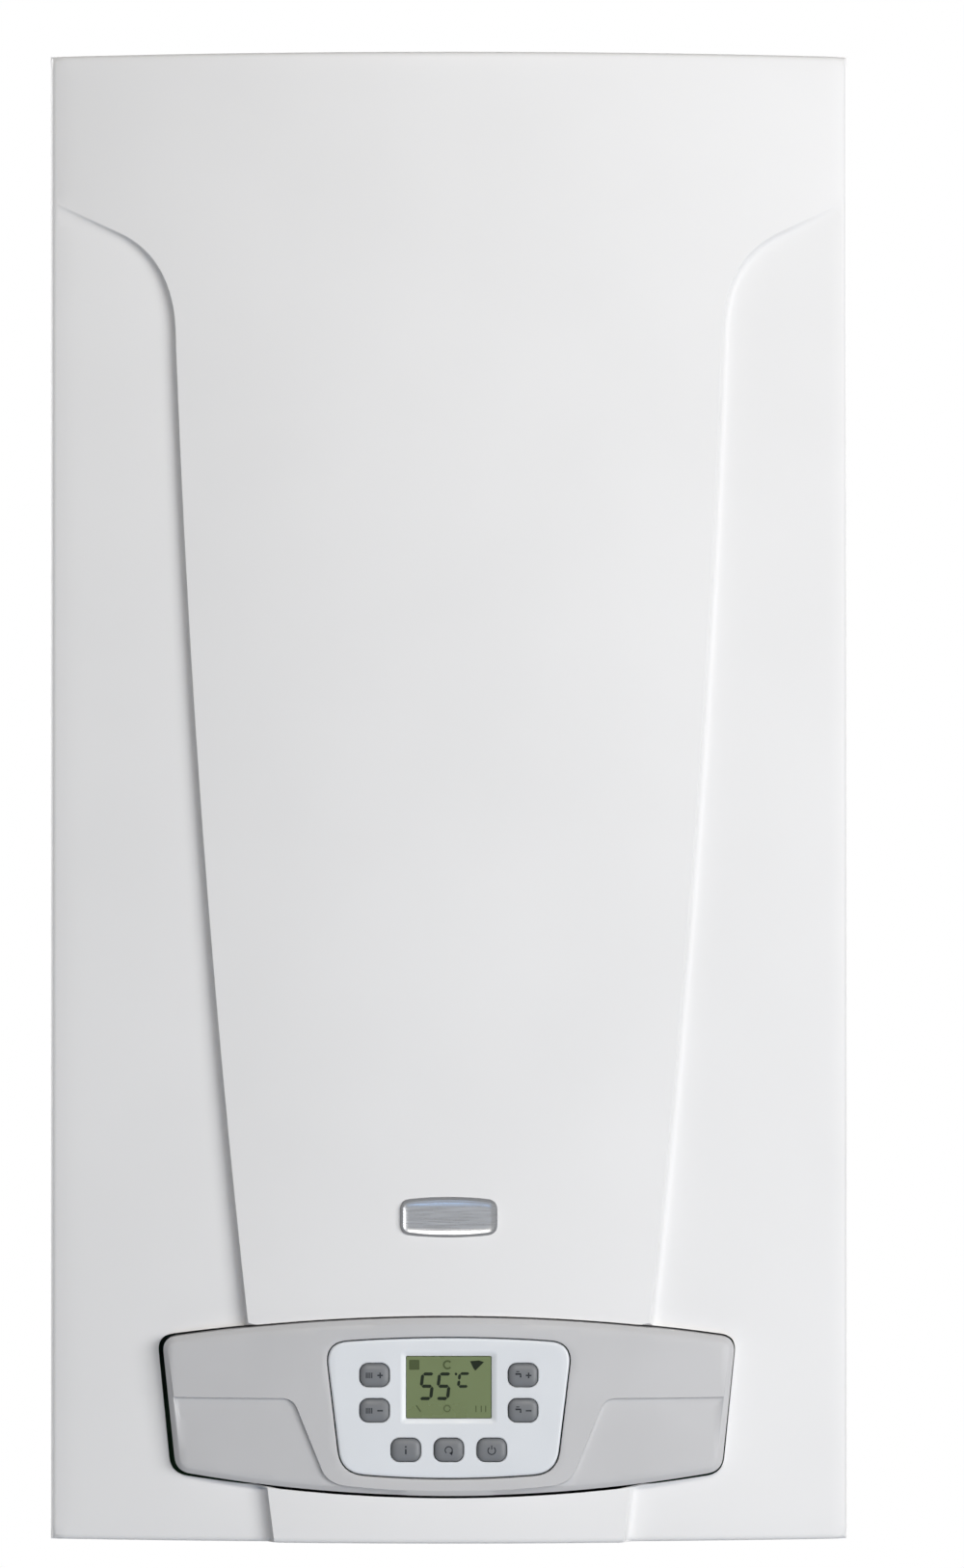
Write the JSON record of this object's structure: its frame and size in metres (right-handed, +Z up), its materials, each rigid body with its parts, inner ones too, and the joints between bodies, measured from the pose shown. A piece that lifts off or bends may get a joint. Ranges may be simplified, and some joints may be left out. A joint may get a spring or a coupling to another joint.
{
  "type": "wall-hung combi boiler",
  "caption": "Wall-hung gas combi boiler with a crowned white front panel, a grey control fascia with display and keys, and pipe connections underneath.",
  "frame": {"origin": "middle of the wall bracket's back face, on the wall", "axes": "+Y into the wall, so the front looks towards -Y; +Z up; +X to the right seen from the front"},
  "size_m": [0.4, 0.299, 0.7533],
  "materials": {
    "enamel": "satin",
    "galvanised": "matte",
    "aluminised_steel": "matte",
    "copper": "satin",
    "brass": "satin",
    "cast_aluminium": "matte",
    "stainless": "satin",
    "vessel_paint": "satin",
    "black_plastic": "matte",
    "grey_plastic": "satin",
    "white_plastic": "satin",
    "key_rubber": "matte",
    "display_window": "gloss",
    "glass": "gloss",
    "circuit_board": "satin",
    "ceramic": "matte",
    "fibre_lined_steel": "matte",
    "red_plastic": "satin",
    "blue_plastic": "satin",
    "satin_metal": "satin"
  },
  "bodies": {
    "boiler": {"left_side_panel": "enamel", "right_side_panel": "enamel", "wall_bracket": "galvanised", "back_frame": "galvanised", "pipe_rail": "galvanised", "chamber_box": "galvanised", "chamber_cover": "galvanised", "sight_glass": "glass", "flue_collar": "cast_aluminium", "fan_housing": "aluminised_steel", "fan_motor": "black_plastic", "flue_hood": "aluminised_steel", "air_pressure_switch": "black_plastic", "primary_exchanger": "copper", "combustion_box": "fibre_lined_steel", "burner": "stainless", "gas_manifold": "cast_aluminium", "ignition_electrode": "ceramic", "flame_probe": "ceramic", "heating_flow_union": "brass", "hot_water_union": "brass", "gas_union": "brass", "cold_water_union": "brass", "heating_return_union": "brass", "flow_block": "brass", "return_block": "brass", "diverter_motor": "black_plastic", "plate_exchanger": "stainless", "pump_casing": "black_plastic", "pump_motor": "cast_aluminium", "expansion_vessel": "vessel_paint", "vessel_pipe": "copper", "flow_riser": "copper", "return_riser": "copper", "relief_valve": "brass", "pressure_gauge": "black_plastic", "gauge_lens": "glass", "gas_valve": "cast_aluminium", "gas_feed_pipe": "copper"},
    "front_panel": {"front_panel": "enamel", "badge": "satin_metal"},
    "control_box": {"control_box": "black_plastic", "fascia": "grey_plastic", "key_plate": "white_plastic", "display_lens": "display_window", "display_board": "circuit_board", "main_board": "circuit_board"},
    "fan_impeller": {"fan_impeller": "aluminised_steel"},
    "pump_rotor": {"pump_rotor": "stainless"},
    "diverter_plunger": {"diverter_plunger": "stainless"},
    "relief_knob": {"relief_knob": "red_plastic"},
    "filling_knob": {"filling_knob": "blue_plastic"},
    "gauge_needle": {"gauge_needle": "red_plastic"},
    "key_1": {"key_1": "key_rubber"},
    "key_2": {"key_2": "key_rubber"},
    "key_3": {"key_3": "key_rubber"},
    "key_4": {"key_4": "key_rubber"},
    "key_5": {"key_5": "key_rubber"},
    "key_6": {"key_6": "key_rubber"},
    "key_7": {"key_7": "key_rubber"}
  },
  "joints": [
    {"name": "front_panel_off", "type": "slide", "parent": "boiler", "child": "front_panel", "axis": [0, -1, 0], "range_m": [0, 0.7]},
    {"name": "control_box_tilt", "type": "hinge", "parent": "boiler", "child": "control_box", "pos_m": [0, -0.2, -0.684], "axis": [1, 0, 0], "range_deg": [0, 90]},
    {"name": "fan_spin", "type": "hinge", "parent": "boiler", "child": "fan_impeller", "pos_m": [-0.05, -0.163, -0.061], "axis": [0, -1, 0], "continuous": true},
    {"name": "pump_spin", "type": "hinge", "parent": "boiler", "child": "pump_rotor", "pos_m": [0.112, -0.07, -0.548], "axis": [0, -1, 0], "continuous": true},
    {"name": "diverter_stroke", "type": "slide", "parent": "boiler", "child": "diverter_plunger", "axis": [0, 0, -1], "range_m": [0, 0.006]},
    {"name": "relief_knob_turn", "type": "hinge", "parent": "boiler", "child": "relief_knob", "pos_m": [0.172, -0.101, -0.626], "axis": [0, -1, 0], "range_deg": [0, 90]},
    {"name": "filling_knob_turn", "type": "hinge", "parent": "boiler", "child": "filling_knob", "pos_m": [0.0975, -0.102, -0.676], "axis": [0, 0, 1], "range_deg": [0, 360]},
    {"name": "gauge_needle_turn", "type": "hinge", "parent": "boiler", "child": "gauge_needle", "pos_m": [-0.0975, -0.1, -0.688], "axis": [0, 0, -1], "range_deg": [0, 270]},
    {"name": "key_1_press", "type": "slide", "parent": "control_box", "child": "key_1", "axis": [0, 1, 0], "range_m": [0, 0.0012], "stiffness_N_per_m": 500},
    {"name": "key_2_press", "type": "slide", "parent": "control_box", "child": "key_2", "axis": [0, 1, 0], "range_m": [0, 0.0012], "stiffness_N_per_m": 500},
    {"name": "key_3_press", "type": "slide", "parent": "control_box", "child": "key_3", "axis": [0, 1, 0], "range_m": [0, 0.0012], "stiffness_N_per_m": 500},
    {"name": "key_4_press", "type": "slide", "parent": "control_box", "child": "key_4", "axis": [0, 1, 0], "range_m": [0, 0.0012], "stiffness_N_per_m": 500},
    {"name": "key_5_press", "type": "slide", "parent": "control_box", "child": "key_5", "axis": [0, 1, 0], "range_m": [0, 0.0012], "stiffness_N_per_m": 500},
    {"name": "key_6_press", "type": "slide", "parent": "control_box", "child": "key_6", "axis": [0, 1, 0], "range_m": [0, 0.0012], "stiffness_N_per_m": 500},
    {"name": "key_7_press", "type": "slide", "parent": "control_box", "child": "key_7", "axis": [0, 1, 0], "range_m": [0, 0.0012], "stiffness_N_per_m": 500}
  ],
  "couplings": [
    {"joint": "control_box_tilt", "follows": "front_panel_off", "rad_per_m": 2.243}
  ]
}
